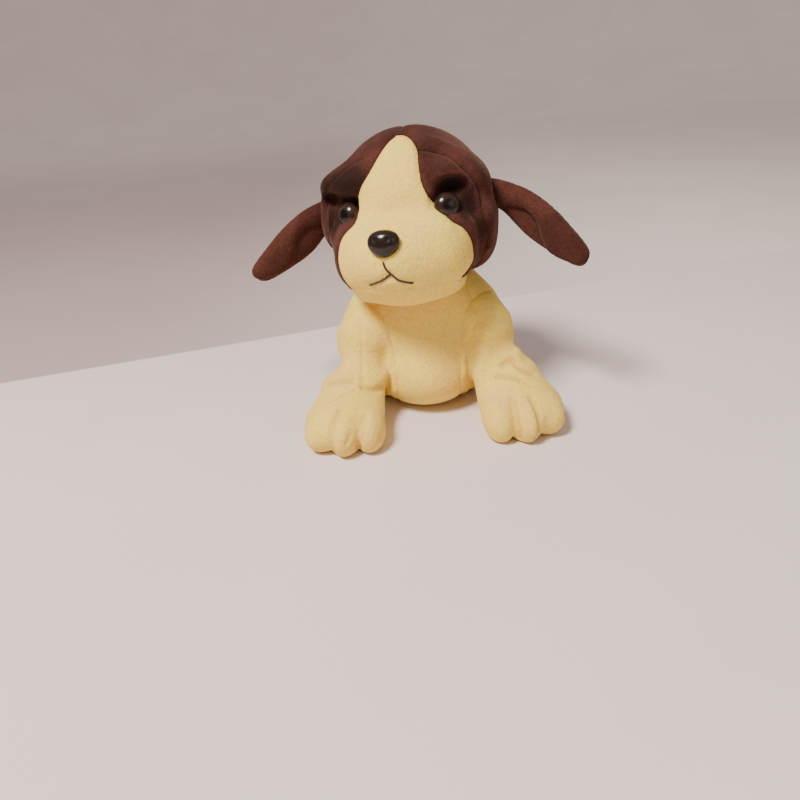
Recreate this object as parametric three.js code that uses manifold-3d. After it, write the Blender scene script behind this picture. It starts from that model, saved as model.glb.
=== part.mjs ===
// Seated plush puppy with sewn fabric skins, stuffing, plastic eyes and nose, and hanging ears.
// Millimetres, +Z up. The puppy looks along -Y with its own left side at +X, seat flat on z = 0.
import * as THREE from 'three';
import { mergeVertices } from 'three/addons/utils/BufferGeometryUtils.js';
import Module from 'manifold-3d';

const wasm = await Module();
wasm.setup();

// ---------- driving dimensions ----------
const FABRIC = 1.6;
const STUFFING_GAP = 0.6;
const SEAM_GAP = 0.5;
const MOVING_GAP = 1.6;
const EYE_RADIUS = 6;
const EYE_HEIGHT = 4.6;
const NOSE_HALF_WIDTH = 7.8;
const NOSE_HALF_HEIGHT = 6.4;
const NOSE_DEPTH = 5.5;
const STEM_RADIUS = 1.7;
const STEM_LENGTH = 14;
const WASHER_RADIUS = 7.5;
const WASHER_THICKNESS = 2;
const WASHER_DEPTH = 8;
const NOSE_WASHER_RADIUS = 5.5;
const NOSE_WASHER_DEPTH = 11;
const THREAD_RADIUS = 0.7;
const THREAD_LIFT = 1.1;

const HEAD_AT = point(-3, -14, 114);
const HEAD_FACING = -16;
const HEAD_ROLL = -4;
const NECK_PIVOT = point(-3, -8, 112);
const NECK_RADIUS = 42;
const NECK_THICKNESS = 8;
const NECK_RIM = 30;
const HEAD_TURN_RANGE = [-15, 15];
const HEAD_NOD_RANGE = [-4, 8];

const EYE_AT = point(25.5, -30.6, 8);
const EYE_LOOK = point(0.42, -0.88, 0.22);
const NOSE_AT = point(0, -58.2, -3);
const NOSE_LOOK = point(0, -0.97, 0.24);
const EAR_ROOT = point(47, 4, 5);
const EAR_DROOP = 33.5;
const EAR_SWEEP = 23.5;
const EAR_RANGE = [-20, 50];

const ARM_PIVOT = point(36, -26, 50);
const ARM_RANGE = [-4, 25];
const HIP_PIVOT = point(32, 18, 14);
const HIP_RANGE = [-3, 28];
const TAIL_PIVOT = point(0, 43, 17);
const TAIL_RANGE = [-35, 35];

// ---------- colours and finishes ----------
const FINISH = {
  cream_fleece: [0xe3d4a6, 0.95],
  brown_velour: [0x5b352a, 0.9],
  polyester_fill: [0xf2efe6, 1.0],
  black_plastic: [0x1d1512, 0.12],
  brown_plastic: [0x2b1a12, 0.08],
  white_plastic: [0xe8e8e4, 0.45],
  black_thread: [0x1c1614, 0.8],
  cream_thread: [0xcdb98a, 0.85],
};

// ---------- soft shapes, each one a distance function ----------
function point(x, y, z) {
  return new THREE.Vector3(x, y, z);
}

function mirrored(at, side) {
  return point(at.x * side, at.y, at.z);
}

function ovoid(at, size, tilt = [0, 0, 0]) {
  const [rx, ry, rz] = tilt.map(THREE.MathUtils.degToRad);
  const turn = new THREE.Matrix4().makeRotationFromEuler(new THREE.Euler(rx, ry, rz, 'ZYX'));
  const back = new THREE.Matrix3().setFromMatrix4(turn).transpose();
  const q = point(0, 0, 0);
  return (p) => {
    q.copy(p).sub(at).applyMatrix3(back).divide(size);
    const near = q.length();
    const slope = q.divide(size).length();
    return slope > 1e-9 ? (near * (near - 1)) / slope : -Math.min(size.x, size.y, size.z);
  };
}

function limb(from, to, startRadius, endRadius) {
  const axis = to.clone().sub(from);
  const span = axis.lengthSq();
  const q = point(0, 0, 0);
  return (p) => {
    const along = THREE.MathUtils.clamp(q.copy(p).sub(from).dot(axis) / span, 0, 1);
    const radius = THREE.MathUtils.lerp(startRadius, endRadius, along);
    return q.addScaledVector(axis, -along).length() - radius;
  };
}

function blend(parts, soft) {
  return (p) => {
    let nearest = 1e6;
    for (const part of parts) {
      const d = part(p);
      const overlap = Math.max(soft - Math.abs(nearest - d), 0) / soft;
      nearest = Math.min(nearest, d) - (overlap * overlap * soft) / 4;
    }
    return nearest;
  };
}

function placed(shape, frame) {
  const back = frame.clone().invert();
  const q = point(0, 0, 0);
  return (p) => shape(q.copy(p).applyMatrix4(back));
}

function swept(shape, pivot, axis, [from, to], step) {
  const count = Math.max(1, Math.ceil((to - from) / step));
  const turns = [];
  for (let i = 0; i <= count; i += 1) {
    const angle = THREE.MathUtils.degToRad(-(from + ((to - from) * i) / count));
    turns.push(new THREE.Matrix4().makeRotationAxis(axis, angle));
  }
  const q = point(0, 0, 0);
  return (p) => {
    let nearest = 1e6;
    for (const turn of turns) {
      q.copy(p).sub(pivot).applyMatrix4(turn).add(pivot);
      nearest = Math.min(nearest, shape(q));
    }
    return nearest;
  };
}

function cleared(shape, movers, gap = MOVING_GAP) {
  return (p) => movers.reduce((d, mover) => Math.max(d, gap - mover(p)), shape(p));
}

function onFloor(shape) {
  return (p) => Math.max(shape(p), -p.z);
}

function inside(shape, depth) {
  return (p) => shape(p) + depth;
}

function outside(shape, reach) {
  return (p) => shape(p) - reach;
}

// ---------- solids ----------
function solidOf(geometry) {
  const plain = geometry.clone();
  for (const name of Object.keys(plain.attributes)) {
    if (name !== 'position') plain.deleteAttribute(name);
  }
  const merged = mergeVertices(plain, 1e-4);
  const faces = [];
  for (let i = 0; i < merged.index.count; i += 3) {
    const [a, b, c] = [0, 1, 2].map((k) => merged.index.getX(i + k));
    if (a !== b && b !== c && c !== a) faces.push(a, b, c);
  }
  const mesh = new wasm.Mesh({
    numProp: 3,
    vertProperties: new Float32Array(merged.attributes.position.array),
    triVerts: new Uint32Array(faces),
  });
  return new wasm.Manifold(mesh);
}

// A stuffed form: a sphere whose vertices are moved out to the surface of the shape.
function stuffed(shape, centre, detail) {
  const geometry = new THREE.IcosahedronGeometry(1, detail);
  const position = geometry.attributes.position;
  const ray = point(0, 0, 0);
  const probe = point(0, 0, 0);
  const value = (reach) => shape(probe.copy(centre).addScaledVector(ray, reach));
  for (let i = 0; i < position.count; i += 1) {
    ray.fromBufferAttribute(position, i).normalize();
    let far = 1;
    while (value(far) < 0) far += 0.8;
    let near = Math.max(far - 0.8, 0);
    for (let k = 0; k < 22; k += 1) {
      const middle = (near + far) / 2;
      if (value(middle) < 0) near = middle;
      else far = middle;
    }
    probe.copy(centre).addScaledVector(ray, near);
    position.setXYZ(i, probe.x, probe.y, probe.z);
  }
  return solidOf(geometry);
}

function cuboid(low, high) {
  const size = high.clone().sub(low);
  const middle = low.clone().add(high).multiplyScalar(0.5);
  const box = new THREE.BoxGeometry(size.x, size.y, size.z);
  return solidOf(box.translate(middle.x, middle.y, middle.z));
}

function globe(centre, radius, detail = 4) {
  return stuffed((p) => p.distanceTo(centre) - radius, centre, detail);
}

// A front-view outline (x, z), eased through its corners and pushed along Y.
function cutter(outline, from, to, grow, steps = 40) {
  const corners = outline.map(([x, z]) => point(x, 0, z));
  const curve = new THREE.CatmullRomCurve3(corners, true, 'centripetal');
  const ring = curve.getPoints(steps).slice(0, steps);
  const shape = new THREE.Shape();
  ring.forEach((here, i) => {
    const before = ring[(i + steps - 1) % steps];
    const after = ring[(i + 1) % steps];
    const along = after.clone().sub(before).normalize();
    const outward = grow * winding(ring);
    const x = here.x + along.z * outward;
    const z = here.z - along.x * outward;
    if (i === 0) shape.moveTo(x, z);
    else shape.lineTo(x, z);
  });
  const prism = new THREE.ExtrudeGeometry(shape, { depth: to - from, bevelEnabled: false });
  prism.rotateX(Math.PI / 2).translate(0, to, 0);
  return solidOf(prism);
}

function winding(ring) {
  let area = 0;
  ring.forEach((here, i) => {
    const next = ring[(i + 1) % ring.length];
    area += here.x * next.z - next.x * here.z;
  });
  return Math.sign(area);
}

function lathed(profile, segments) {
  return new THREE.LatheGeometry(profile.map(([r, h]) => new THREE.Vector2(r, h)), segments);
}

// Turns a part made along +Y so that it points along `look` from `at`.
function aimed(geometry, at, look) {
  const turn = new THREE.Quaternion();
  turn.setFromUnitVectors(point(0, 1, 0), look.clone().normalize());
  return geometry.applyQuaternion(turn).translate(at.x, at.y, at.z);
}

function thread(path, radius = THREAD_RADIUS) {
  const ring = new THREE.Shape();
  ring.absarc(0, 0, radius, 0, Math.PI * 2, false);
  const curve = new THREE.CatmullRomCurve3(path);
  const options = { steps: path.length * 2, curveSegments: 3, extrudePath: curve };
  return solidOf(new THREE.ExtrudeGeometry(ring, options));
}

// Point above the surface of a shape, found by moving from `from` along `ray`.
function resting(shape, from, ray, lift) {
  const p = from.clone();
  const step = ray.clone().normalize();
  for (let i = 0; i < 400 && shape(p) < lift; i += 1) p.addScaledVector(step, 0.5);
  for (let i = 0; i < 60 && shape(p) > lift; i += 1) p.addScaledVector(step, -0.02);
  return p;
}

// ---------- the assembled group ----------
const group = new THREE.Group();
group.name = 'plush_puppy';
const headFrame = new THREE.Matrix4()
  .makeRotationZ(THREE.MathUtils.degToRad(HEAD_FACING))
  .multiply(new THREE.Matrix4().makeRotationY(THREE.MathUtils.degToRad(HEAD_ROLL)))
  .setPosition(HEAD_AT);

function keep(name, solid, finish, frame = null) {
  const cut = solid.getMesh();
  const geometry = new THREE.BufferGeometry();
  const stride = cut.numProp;
  const count = cut.vertProperties.length / stride;
  const position = new Float32Array(count * 3);
  for (let i = 0; i < count; i += 1) {
    for (let k = 0; k < 3; k += 1) position[i * 3 + k] = cut.vertProperties[i * stride + k];
  }
  geometry.setAttribute('position', new THREE.BufferAttribute(position, 3));
  geometry.setIndex(Array.from(cut.triVerts));
  if (frame) geometry.applyMatrix4(frame);
  geometry.computeVertexNormals();
  const [color, roughness] = FINISH[finish];
  const material = new THREE.MeshStandardMaterial({ color, roughness, metalness: 0 });
  material.name = finish;
  const mesh = new THREE.Mesh(geometry, material);
  mesh.name = name;
  group.add(mesh);
}

const UP = point(0, 0, 1);
const ACROSS = point(1, 0, 0);
const AHEAD = point(0, 1, 0);
const SIDES = [['left', 1], ['right', -1]];

// ---------- outer forms ----------
const headForm = blend([
  ovoid(point(0, 3, 3), point(44, 42, 42.5)),
  ovoid(point(0, 6, -6), point(47.5, 38, 32)),
  ovoid(point(30, -10, 15), point(15.5, 17, 14)),
  ovoid(point(-30, -10, 15), point(15.5, 17, 14)),
  ovoid(point(33, -12, -4), point(13, 20, 13)),
  ovoid(point(-33, -12, -4), point(13, 20, 13)),
  ovoid(point(32, 4, -20), point(13, 20, 14)),
  ovoid(point(-32, 4, -20), point(13, 20, 14)),
  ovoid(point(14.5, -26, -16), point(24, 29, 24)),
  ovoid(point(-14.5, -26, -16), point(24, 29, 24)),
  ovoid(point(0, -42, -14), point(21, 20, 18)),
  ovoid(point(0, -28, -25), point(24, 26, 18)),
], 8);

const torsoForm = blend([
  ovoid(point(0, 2, 34), point(40, 46, 36)),
  ovoid(point(0, -16, 22), point(34, 37, 24)),
  ovoid(point(0, -8, 56), point(40, 32, 36)),
  ovoid(point(32, -20, 46), point(17, 20, 26)),
  ovoid(point(-32, -20, 46), point(17, 20, 26)),
], 10);

function armForm(side) {
  return onFloor(blend([
    limb(mirrored(ARM_PIVOT, side), point(side * 39, -44, 22), 13, 13),
    ovoid(point(side * 50, -62, 12), point(23, 27, 15), [0, 0, side * 22]),
    ovoid(point(side * 44, -74, 9), point(16, 15, 11), [0, 0, side * 15]),
    ovoid(point(side * 50, -46, 18), point(14, 16, 16)),
  ], 9));
}

function hindForm(side) {
  return onFloor(blend([
    ovoid(point(side * 27, -5, 9), point(11.5, 22, 10)),
    ovoid(point(side * 33, 18, 15), point(16, 20, 17)),
  ], 8));
}

function earForm(side) {
  return blend([
    ovoid(point(side * 52, 2, 4.5), point(13, 6.5, 11), [0, side * 24, -side * 22]),
    ovoid(
      point(side * 70.7, -6.3, -12.1),
      point(32, 5.5, 11.8),
      [0, side * EAR_DROOP, -side * EAR_SWEEP],
    ),
  ], 5);
}

const tailForm = limb(TAIL_PIVOT, point(0, 64, 25), 8, 5.5);

function neckForm(p) {
  const reach = p.distanceTo(NECK_PIVOT);
  const tilt = Math.acos(THREE.MathUtils.clamp((NECK_PIVOT.z - p.z) / Math.max(reach, 1e-6), -1, 1));
  const rim = (tilt - THREE.MathUtils.degToRad(NECK_RIM)) * reach;
  return Math.max(reach - NECK_RADIUS, NECK_RADIUS - NECK_THICKNESS - reach, rim);
}

// ---------- moving clearances ----------
const headAcross = ACROSS.clone().applyAxisAngle(UP, THREE.MathUtils.degToRad(HEAD_FACING));
const headInPlace = placed(headForm, headFrame);
const headNodding = swept(headInPlace, NECK_PIVOT, headAcross, HEAD_NOD_RANGE, 4);
const headSweep = swept(headNodding, NECK_PIVOT, UP, HEAD_TURN_RANGE, 5);

function armSweep(side) {
  return swept(armForm(side), mirrored(ARM_PIVOT, side), ACROSS, reversed(ARM_RANGE, -1), 4);
}

function hindSweep(side) {
  return swept(hindForm(side), mirrored(HIP_PIVOT, side), UP, reversed(HIP_RANGE, side), 3);
}

// A range seen from the other side of its axis.
function reversed([from, to], side) {
  return side > 0 ? [from, to] : [-to, -from];
}

const torsoSolid = onFloor(cleared(torsoForm, [
  headSweep,
  neckForm,
  armSweep(1),
  armSweep(-1),
  outside(hindSweep(1), 0.8),
  outside(hindSweep(-1), 0.8),
  outside(swept(tailForm, TAIL_PIVOT, UP, TAIL_RANGE, 7), 0.8),
]));

// ---------- torso ----------
const TORSO_CENTRE = point(0, -6, 32);
const BELLY_OUTLINE = [
  [0, -4], [20, -4], [21, 20], [23, 42], [32, 62], [30, 76], [26, 96],
  [0, 104], [-26, 96], [-30, 76], [-32, 62], [-23, 42], [-21, 20], [-20, -4],
];
const SEAT_SEAM = 3;
const TORSO_DETAIL = 5;

const torsoOuter = stuffed(torsoSolid, TORSO_CENTRE, TORSO_DETAIL);
const torsoInner = stuffed(inside(torsoSolid, FABRIC), TORSO_CENTRE, TORSO_DETAIL);
const torsoSkin = torsoOuter
  .subtract(torsoInner)
  .subtract(globe(NECK_PIVOT, NECK_RADIUS + 4));
const far = 200;
const seatSlab = cuboid(point(-far, -far, -far), point(far, far, SEAT_SEAM));
const aboveSeat = cuboid(point(-far, -far, SEAT_SEAM + SEAM_GAP), point(far, far, far));
const bellyCut = cutter(BELLY_OUTLINE, -far, -6, -SEAM_GAP / 2);
const bellyClear = cutter(BELLY_OUTLINE, -far, -6 + SEAM_GAP, SEAM_GAP / 2);
const torsoWall = torsoSkin.intersect(aboveSeat);

keep('belly_panel', torsoWall.intersect(bellyCut), 'cream_fleece');
for (const [name, side] of SIDES) {
  const low = side > 0 ? point(SEAM_GAP / 2, -far, -far) : point(-far, -far, -far);
  const high = side > 0 ? point(far, far, far) : point(-SEAM_GAP / 2, far, far);
  const half = torsoWall.subtract(bellyClear).intersect(cuboid(low, high));
  keep(`side_panel_${name}`, half, 'cream_fleece');
}
keep('seat_panel', torsoSkin.intersect(seatSlab), 'cream_fleece');
keep('torso_filling',
  stuffed(inside(torsoSolid, FABRIC + STUFFING_GAP), TORSO_CENTRE, TORSO_DETAIL), 'polyester_fill');

// ---------- front legs ----------
for (const [name, side] of SIDES) {
  const form = armForm(side);
  const centre = point(side * 43, -53, 18);
  const outer = stuffed(form, centre, 4);
  const inner = stuffed(inside(form, FABRIC), centre, 4);
  const skin = outer.subtract(inner);
  const seam = new THREE.BoxGeometry(SEAM_GAP, 300, 300);
  seam.rotateZ(THREE.MathUtils.degToRad(side * 22)).translate(side * 43, -54, 0);
  const outerSide = new THREE.BoxGeometry(150, 300, 300);
  outerSide.translate(side * (75 + SEAM_GAP / 2), 0, 0);
  outerSide.rotateZ(THREE.MathUtils.degToRad(side * 22)).translate(side * 43, -54, 0);
  const outerHalf = solidOf(outerSide);
  const wide = outerHalf.add(solidOf(seam));
  keep(`front_leg_${name}_outer_panel`, skin.intersect(outerHalf), 'cream_fleece');
  keep(`front_leg_${name}_inner_panel`, skin.subtract(wide), 'cream_fleece');
  keep(`front_leg_${name}_filling`,
    stuffed(inside(form, FABRIC + STUFFING_GAP), centre, 4), 'polyester_fill');
  [['inner', -14], ['outer', 14]].forEach(([place, swing]) => {
    const path = [];
    for (let rise = 62; rise >= 2; rise -= 12) {
      const ray = AHEAD.clone().negate();
      ray.applyAxisAngle(ACROSS, THREE.MathUtils.degToRad(-rise));
      ray.applyAxisAngle(UP, THREE.MathUtils.degToRad(side * (18 + swing)));
      path.push(resting(form, point(side * 48, -62, 5), ray, THREAD_LIFT));
    }
    keep(`front_leg_${name}_${place}_toe_thread`, thread(path), 'cream_thread');
  });
}

// ---------- hind legs ----------
for (const [name, side] of SIDES) {
  const form = hindForm(side);
  const centre = point(side * 30, 8, 10);
  const skin = stuffed(form, centre, 3).subtract(stuffed(inside(form, FABRIC), centre, 3));
  const split = side * 30;
  const gap = SEAM_GAP / 2;
  const outward = side > 0
    ? cuboid(point(split + gap, -far, -far), point(far, far, far))
    : cuboid(point(-far, -far, -far), point(split - gap, far, far));
  const inward = side > 0
    ? cuboid(point(-far, -far, -far), point(split - gap, far, far))
    : cuboid(point(split + gap, -far, -far), point(far, far, far));
  keep(`hind_leg_${name}_outer_panel`, skin.intersect(outward), 'cream_fleece');
  keep(`hind_leg_${name}_inner_panel`, skin.intersect(inward), 'cream_fleece');
  keep(`hind_leg_${name}_filling`,
    stuffed(inside(form, FABRIC + STUFFING_GAP), centre, 3), 'polyester_fill');
}

// ---------- tail ----------
{
  const centre = point(0, 50, 20);
  const skin = stuffed(tailForm, centre, 3).subtract(stuffed(inside(tailForm, FABRIC), centre, 3));
  const gap = SEAM_GAP / 2;
  const leftHalf = cuboid(point(gap, -far, -far), point(far, far, far));
  const rightHalf = cuboid(point(-far, -far, -far), point(-gap, far, far));
  keep('tail_left_panel', skin.intersect(leftHalf), 'cream_fleece');
  keep('tail_right_panel', skin.intersect(rightHalf), 'cream_fleece');
  keep('tail_filling',
    stuffed(inside(tailForm, FABRIC + STUFFING_GAP), centre, 3), 'polyester_fill');
}

// ---------- neck ----------
{
  const rim = THREE.MathUtils.degToRad(NECK_RIM);
  const inner = NECK_RADIUS - NECK_THICKNESS;
  const profile = [];
  for (let i = 0; i <= 4; i += 1) {
    const angle = (rim * i) / 4;
    profile.push([NECK_RADIUS * Math.sin(angle), -NECK_RADIUS * Math.cos(angle)]);
  }
  for (let i = 4; i >= 0; i -= 1) {
    const angle = (rim * i) / 4;
    profile.push([inner * Math.sin(angle), -inner * Math.cos(angle)]);
  }
  const pad = aimed(lathed(profile, 24), NECK_PIVOT, UP);
  keep('neck_filling', solidOf(pad), 'polyester_fill');
}

// ---------- head ----------
const FACE_OUTLINE = [
  [2.5, 42.8], [8, 40.5], [12.2, 35.6], [13.6, 29], [14.8, 21], [17.2, 15.2], [21.8, 8.8],
  [29, 2.4], [35.2, -3.3], [38.4, -9.7], [38.8, -17], [37, -24], [32, -29], [24, -31],
  [0, -31.5], [-20, -31], [-27, -28.5], [-31, -23], [-32.5, -15], [-32, -8], [-30, -2.5],
  [-26.5, 1.6], [-22.4, 4.8], [-20.6, 9], [-20.8, 14], [-18.8, 18.8], [-15.2, 24.5],
  [-10.6, 31], [-6.4, 37.2], [-2.4, 41.4],
];
const BROW_OUTLINE = [
  [0, 35.5], [12.7, 35], [21, 32.5], [29, 29], [35, 24], [38.5, 18.5], [41.5, 11], [42.5, 0],
  [42.8, -9], [41.2, -18], [37, -24], [0, -24],
];
const CHIN_OUTLINE = [
  [0, -27], [24, -27], [35, -27], [37, -34], [30, -50], [0, -60],
];
const HEAD_CENTRE = point(0, -10, -4);

function bothSides(half) {
  const left = half.slice(1, -1).reverse().map(([x, z]) => [-x, z]);
  return [...half, ...left];
}

const neckInHead = (p) => neckForm(p.clone().applyMatrix4(headFrame));
const pivotInHead = NECK_PIVOT.clone().applyMatrix4(headFrame.clone().invert());
const nodInHead = headAcross.clone().transformDirection(headFrame.clone().invert());
const neckSwing = swept(neckInHead, pivotInHead, nodInHead, reversed(HEAD_NOD_RANGE, -1), 4);

function earSweep(side) {
  const pivot = mirrored(EAR_ROOT, side);
  return outside(swept(earForm(side), pivot, AHEAD, reversed(EAR_RANGE, -side), 6), 0.6);
}

const headSolid = cleared(headForm, [neckSwing, earSweep(1), earSweep(-1)]);
const HEAD_DETAIL = 6;
const headOuter = stuffed(headSolid, HEAD_CENTRE, HEAD_DETAIL);
const headInner = stuffed(inside(headSolid, FABRIC), HEAD_CENTRE, HEAD_DETAIL);
const neckBore = aimed(new THREE.CylinderGeometry(32, 32, 80, 24), pivotInHead, UP);
neckBore.translate(0, 0, -42);

function seated(half, from, look, depth) {
  const seat = new THREE.CylinderGeometry(half, half, depth, 24).translate(0, depth / 2, 0);
  return solidOf(aimed(seat, from, look));
}

function stemBore(at, look, radius = STEM_RADIUS + 0.4) {
  const reach = STEM_LENGTH + 1;
  const bore = new THREE.CylinderGeometry(radius, radius, reach, 16).translate(0, -reach / 2 + 0.5, 0);
  return solidOf(aimed(bore, at, look));
}

function washerRoom({ at, look, disc, depth }) {
  const room = new THREE.CylinderGeometry(disc + 0.5, disc + 0.5, WASHER_THICKNESS + 1, 20);
  return solidOf(aimed(room.translate(0, -depth, 0), at, look));
}

const eyes = SIDES.map(([name, side]) => ({
  name: `eye_${name}`,
  at: mirrored(EYE_AT, side),
  look: mirrored(EYE_LOOK, side),
  disc: WASHER_RADIUS,
  depth: WASHER_DEPTH,
}));
const snout = {
  name: 'nose',
  at: NOSE_AT,
  look: NOSE_LOOK,
  disc: NOSE_WASHER_RADIUS,
  depth: NOSE_WASHER_DEPTH,
};

let headSkin = headOuter.subtract(headInner).subtract(solidOf(neckBore));
let headFill = stuffed(inside(headSolid, FABRIC + STUFFING_GAP), HEAD_CENTRE, HEAD_DETAIL);
for (const [, side] of SIDES) headSkin = headSkin.subtract(globe(mirrored(EAR_ROOT, side), 14.5, 3));
for (const button of [...eyes, snout]) {
  const bore = stemBore(button.at, button.look);
  headSkin = headSkin.subtract(bore);
  headFill = headFill.subtract(bore).subtract(washerRoom(button));
}
for (const button of [...eyes, snout]) {
  const half = button === snout ? NOSE_HALF_WIDTH : EYE_RADIUS;
  const seat = seated(half + 0.4, button.at, button.look, 14);
  headSkin = headSkin.subtract(seat);
  headFill = headFill.subtract(seat);
}

const faceCut = cutter(FACE_OUTLINE, -far, -4, -SEAM_GAP / 2, 72);
const faceClear = cutter(FACE_OUTLINE, -far, -4 + SEAM_GAP, SEAM_GAP / 2, 72);
const browCut = cutter(bothSides(BROW_OUTLINE), -far, -9, -SEAM_GAP / 2, 48);
const browClear = cutter(bothSides(BROW_OUTLINE), -far, -9 + SEAM_GAP, SEAM_GAP / 2, 48);
const chinCut = cutter(bothSides(CHIN_OUTLINE), -far, -14, -SEAM_GAP / 2, 40);
const chinClear = cutter(bothSides(CHIN_OUTLINE), -far, -14 + SEAM_GAP, SEAM_GAP / 2, 40);

keep('face_panel', headSkin.intersect(faceCut), 'cream_fleece', headFrame);
keep('chin_panel', headSkin.intersect(chinCut).subtract(faceClear), 'cream_fleece', headFrame);
const headRest = headSkin.subtract(faceClear);
const backRest = headRest.subtract(browClear).subtract(chinClear);
for (const [name, side] of SIDES) {
  const low = side > 0 ? point(SEAM_GAP / 2, -far, -far) : point(-far, -far, -far);
  const high = side > 0 ? point(far, far, far) : point(-SEAM_GAP / 2, far, far);
  const half = cuboid(low, high);
  keep(`eye_patch_${name}`, headRest.intersect(browCut).intersect(half), 'brown_velour', headFrame);
  keep(`head_back_${name}`, backRest.intersect(half), 'brown_velour', headFrame);
}
keep('head_filling', headFill, 'polyester_fill', headFrame);

// ---------- eyes and nose, each a moulded cap on a stem held by a washer ----------
function capOnStem(radius, height) {
  const profile = [];
  for (let i = 0; i <= 7; i += 1) {
    const angle = (Math.PI / 2) * (1 - i / 7);
    profile.push([radius * Math.cos(angle), height * Math.sin(angle) + 0.2]);
  }
  profile[0][0] = 0;
  profile.push([STEM_RADIUS, 0.2], [STEM_RADIUS, -STEM_LENGTH], [0, -STEM_LENGTH]);
  return lathed(profile.reverse(), 24);
}

function washer({ at, look, disc, depth }) {
  const bore = STEM_RADIUS + 0.35;
  const half = WASHER_THICKNESS / 2;
  const profile = [
    [bore, -half], [disc, -half], [disc, half], [bore, half], [bore, -half],
  ];
  return solidOf(aimed(lathed(profile, 24).translate(0, -depth, 0), at, look));
}

function squeezed(cap, ratio) {
  const position = cap.attributes.position;
  for (let i = 0; i < position.count; i += 1) {
    if (position.getY(i) >= 0) position.setZ(i, position.getZ(i) * ratio);
  }
  return cap;
}

for (const eye of eyes) {
  const cap = aimed(capOnStem(EYE_RADIUS, EYE_HEIGHT), eye.at, eye.look);
  keep(eye.name, solidOf(cap), 'brown_plastic', headFrame);
  keep(`${eye.name}_washer`, washer(eye), 'white_plastic', headFrame);
}
const noseCap = squeezed(capOnStem(NOSE_HALF_WIDTH, NOSE_DEPTH), NOSE_HALF_HEIGHT / NOSE_HALF_WIDTH);
keep('nose', solidOf(aimed(noseCap, NOSE_AT, NOSE_LOOK)), 'black_plastic', headFrame);
keep('nose_washer', washer(snout), 'white_plastic', headFrame);

// ---------- mouth ----------
{
  const onFace = ([x, z]) => resting(headForm, point(x, -20, z), point(0, -1, 0), THREAD_LIFT);
  const strokes = [
    [[-1.2, -11.6], [-0.4, -14], [1.6, -17.5]],
    [[1.4, -16.5], [-2.8, -18.6], [-6.6, -21.4], [-11, -23.8]],
    [[1.4, -16.5], [5.2, -19.8], [9.4, -22.4], [13.8, -23.8]],
  ].map((path) => thread(path.map(onFace)));
  const mouth = strokes[0].add(strokes[1]).add(strokes[2]);
  keep('mouth_thread', mouth, 'black_thread', headFrame);
}

// ---------- ears ----------
for (const [name, side] of SIDES) {
  const form = earForm(side);
  const leaf = stuffed(form, point(side * 65, -3.8, -8), 4);
  const seamGap = SEAM_GAP / 2;
  const face = new THREE.BoxGeometry(300, 100, 300).translate(0, -50 - seamGap, 0);
  const lining = new THREE.BoxGeometry(300, 100, 300).translate(0, 50 + seamGap, 0);
  for (const half of [face, lining]) {
    half.rotateZ(THREE.MathUtils.degToRad(-side * EAR_SWEEP)).translate(side * 65, -3.8, 0);
  }
  keep(`ear_${name}_outer`, leaf.intersect(solidOf(face)), 'brown_velour', headFrame);
  keep(`ear_${name}_inner`, leaf.intersect(solidOf(lining)), 'brown_velour', headFrame);
}

export default group;
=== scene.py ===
"""Seated plush puppy: sewn cream and brown fabric panels over stuffing, plastic eyes and nose."""
import math

import bpy
import numpy as np
from mathutils import Matrix, Vector
from mathutils.kdtree import KDTree


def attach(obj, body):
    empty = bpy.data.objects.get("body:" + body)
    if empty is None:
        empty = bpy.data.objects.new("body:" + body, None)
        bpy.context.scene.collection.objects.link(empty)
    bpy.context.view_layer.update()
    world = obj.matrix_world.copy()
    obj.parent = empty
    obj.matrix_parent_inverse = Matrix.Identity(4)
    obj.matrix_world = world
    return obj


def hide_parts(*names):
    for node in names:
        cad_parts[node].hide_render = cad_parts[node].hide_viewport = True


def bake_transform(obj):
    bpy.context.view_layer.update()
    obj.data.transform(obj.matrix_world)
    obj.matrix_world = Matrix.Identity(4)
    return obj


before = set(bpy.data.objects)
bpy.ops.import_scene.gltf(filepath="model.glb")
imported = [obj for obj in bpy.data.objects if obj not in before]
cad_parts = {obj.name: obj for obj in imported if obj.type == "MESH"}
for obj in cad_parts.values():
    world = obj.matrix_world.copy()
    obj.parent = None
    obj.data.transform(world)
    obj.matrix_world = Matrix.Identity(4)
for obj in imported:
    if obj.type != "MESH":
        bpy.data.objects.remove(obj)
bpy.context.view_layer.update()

MM = 0.001
CELL = 1.0
FABRIC = 1.0
FILLING_DEPTH = 3.2
FILLING_CELL = 3.0
CLOTH_CELL = 4.0
CLOTH_FRAMES = 20
CLOTH_PRESSURE = 60
CLOTH_LIFT = 1.6
PATCH_REACH = 7.5
PATCH_RIM = 3
RIM_SINK = 1.1
FAR_OFF = 50.0
EYE_RADIUS = 6.8
HEAD_AT = np.array([-3.0, -14.0, 114.0])
HEAD_FACING = -16.0
HEAD_ROLL = -4.0
NECK_PIVOT = np.array([-3.0, -8.0, 112.0])
SIDES = (("left", 1), ("right", -1))


# ---------- shapes: distance functions of an (n, 3) array of points, in millimetres ----------
def spin(axis, degrees):
    return np.array(Matrix.Rotation(math.radians(degrees), 3, axis))


def squared(q):
    return np.einsum("ij,ij->i", q, q)


def egg(at, size, tilt=(0, 0, 0)):
    at, size = np.array(at, float), np.array(size, float)
    turn = spin("Z", tilt[2]) @ spin("Y", tilt[1]) @ spin("X", tilt[0])

    def distance(p):
        q = (p - at) @ turn / size
        near = np.sqrt(squared(q))
        slope = np.sqrt(squared(q / size))
        return np.where(near > 1e-3, near * (near - 1) / np.maximum(slope, 1e-9), -size.min())

    return distance


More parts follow.
